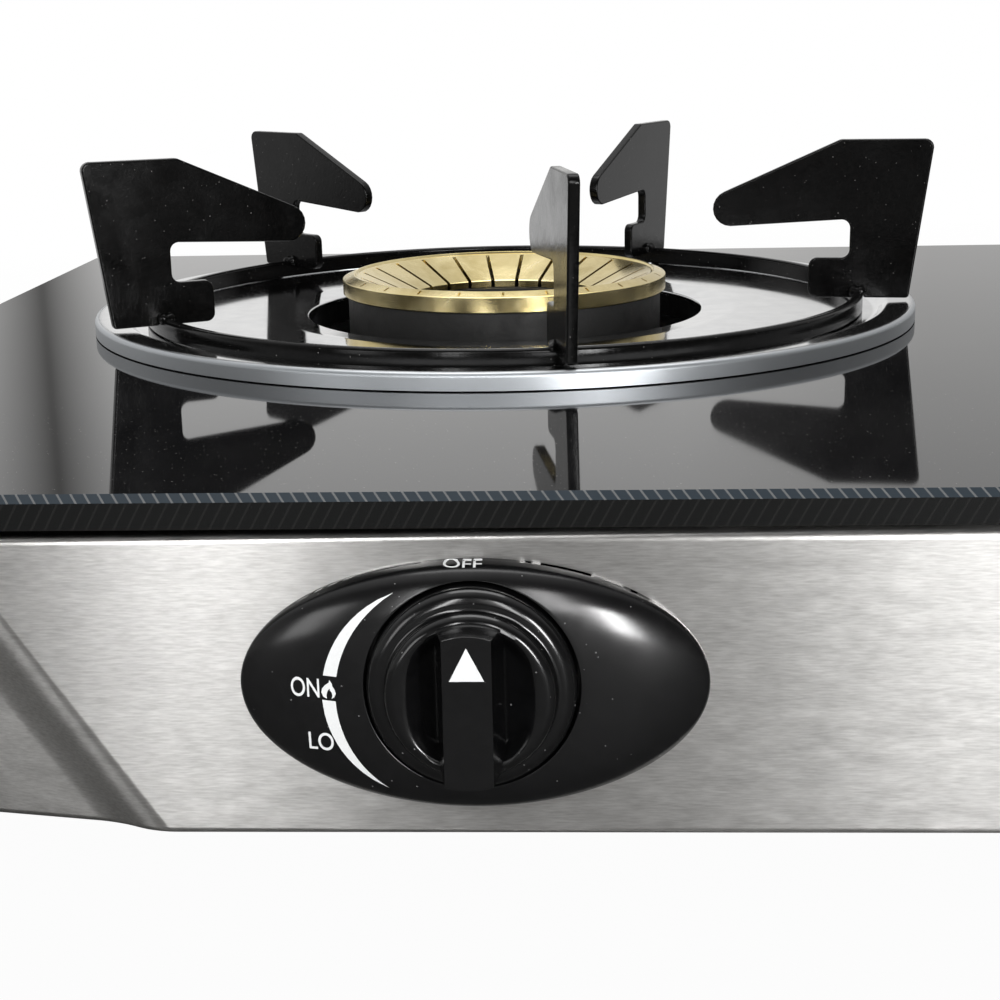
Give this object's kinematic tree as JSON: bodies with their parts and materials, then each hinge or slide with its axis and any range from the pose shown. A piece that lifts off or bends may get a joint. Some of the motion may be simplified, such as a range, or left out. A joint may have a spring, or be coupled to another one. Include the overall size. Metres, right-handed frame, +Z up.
{
  "type": "two-burner gas cooktop",
  "caption": "Tabletop gas cooktop: black glass top over a brushed steel body, brass burners in polished drip pans, lift-off pan supports and turning knobs on the front.",
  "frame": {"origin": "on the ground, under the middle of the whole", "axes": "+Z up, the controls face -Y, +X along the width"},
  "size_m": [0.71, 0.398, 0.1354],
  "materials": {
    "black_glass": "polished black tempered glass with a hatched bevel",
    "brushed_panel": "brushed along its length",
    "tray_steel": "plain galvanised sheet",
    "polished_pan": "polished stainless steel",
    "black_enamel": "gloss black enamel",
    "brass": "turned brass",
    "black_casting": "black heat-proof coat on a casting",
    "rubber": "moulded black rubber",
    "knob_plastic": "gloss black moulding with a white pointer",
    "bezel_plastic": "semi-gloss black moulding with white print",
    "zinc_steel": "zinc-plated steel",
    "copper": "drawn copper",
    "ceramic": "white glazed ceramic",
    "igniter_plastic": "black moulding",
    "lead_sleeve": "red silicone sleeve"
  },
  "bodies": {
    "chassis": {"glass_top": "black_glass", "glass_gasket": "rubber", "front_panel": "brushed_panel", "body_tray": "tray_steel", "rubber_feet": "rubber", "foot_screws": "zinc_steel", "panel_screws": "zinc_steel", "manifold_pipe": "zinc_steel", "manifold_plugs": "brass", "supply_pipe": "copper", "gas_inlet": "brass", "inlet_nut": "brass", "left_burner_body": "black_casting", "left_burner_bracket": "zinc_steel", "left_bracket_screws": "zinc_steel", "left_gas_jet": "brass", "left_valve_body": "brass", "left_valve_cover": "brass", "left_valve_screws": "zinc_steel", "left_valve_clamp": "zinc_steel", "left_bezel": "bezel_plastic", "left_piezo_igniter": "igniter_plastic", "left_igniter_electrode": "ceramic", "left_ignition_lead": "lead_sleeve", "right_burner_body": "black_casting", "right_burner_bracket": "zinc_steel", "right_bracket_screws": "zinc_steel", "right_gas_jet": "brass", "right_valve_body": "brass", "right_valve_cover": "brass", "right_valve_screws": "zinc_steel", "right_valve_clamp": "zinc_steel", "right_bezel": "bezel_plastic", "right_piezo_igniter": "igniter_plastic", "right_igniter_electrode": "ceramic", "right_ignition_lead": "lead_sleeve"},
    "left_pan": {"left_drip_pan": "polished_pan"},
    "left_support": {"left_support_ring": "black_enamel", "left_support_arms": "black_enamel"},
    "left_cap": {"left_burner_cap": "brass"},
    "left_plug": {"left_valve_plug": "brass", "left_stem_spring": "zinc_steel"},
    "left_control": {"left_valve_stem": "brass", "left_knob": "knob_plastic"},
    "left_shutter": {"left_air_shutter": "zinc_steel"},
    "right_pan": {"right_drip_pan": "polished_pan"},
    "right_support": {"right_support_ring": "black_enamel", "right_support_arms": "black_enamel"},
    "right_cap": {"right_burner_cap": "brass"},
    "right_plug": {"right_valve_plug": "brass", "right_stem_spring": "zinc_steel"},
    "right_control": {"right_valve_stem": "brass", "right_knob": "knob_plastic"},
    "right_shutter": {"right_air_shutter": "zinc_steel"}
  },
  "joints": [
    {"name": "left_valve_turn", "type": "hinge", "parent": "chassis", "child": "left_plug", "pos_m": [-0.18, -0.177, 0.0453], "axis": [0, -1, 0], "range_deg": [0, 135]},
    {"name": "left_knob_push", "type": "slide", "parent": "left_plug", "child": "left_control", "axis": [0, 1, 0], "range_m": [0, 0.003], "stiffness_N_per_m": 1500, "springref_m": -0.002, "deforming": ["left_stem_spring"]},
    {"name": "left_pan_lift", "type": "slide", "parent": "chassis", "child": "left_pan", "axis": [0, 0, 1], "range_m": [0, 0.15]},
    {"name": "left_support_lift", "type": "slide", "parent": "left_pan", "child": "left_support", "axis": [0, 0, 1], "range_m": [0, 0.15]},
    {"name": "left_cap_lift", "type": "slide", "parent": "chassis", "child": "left_cap", "axis": [0, 0, 1], "range_m": [0, 0.1]},
    {"name": "left_shutter_turn", "type": "hinge", "parent": "chassis", "child": "left_shutter", "pos_m": [-0.18, -0.1153, 0.0453], "axis": [0, 1, 0], "range_deg": [0, 60]},
    {"name": "right_valve_turn", "type": "hinge", "parent": "chassis", "child": "right_plug", "pos_m": [0.18, -0.177, 0.0453], "axis": [0, -1, 0], "range_deg": [0, 135]},
    {"name": "right_knob_push", "type": "slide", "parent": "right_plug", "child": "right_control", "axis": [0, 1, 0], "range_m": [0, 0.003], "stiffness_N_per_m": 1500, "springref_m": -0.002, "deforming": ["right_stem_spring"]},
    {"name": "right_pan_lift", "type": "slide", "parent": "chassis", "child": "right_pan", "axis": [0, 0, 1], "range_m": [0, 0.15]},
    {"name": "right_support_lift", "type": "slide", "parent": "right_pan", "child": "right_support", "axis": [0, 0, 1], "range_m": [0, 0.15]},
    {"name": "right_cap_lift", "type": "slide", "parent": "chassis", "child": "right_cap", "axis": [0, 0, 1], "range_m": [0, 0.1]},
    {"name": "right_shutter_turn", "type": "hinge", "parent": "chassis", "child": "right_shutter", "pos_m": [0.18, -0.1153, 0.0453], "axis": [0, -1, 0], "range_deg": [0, 60]}
  ]
}
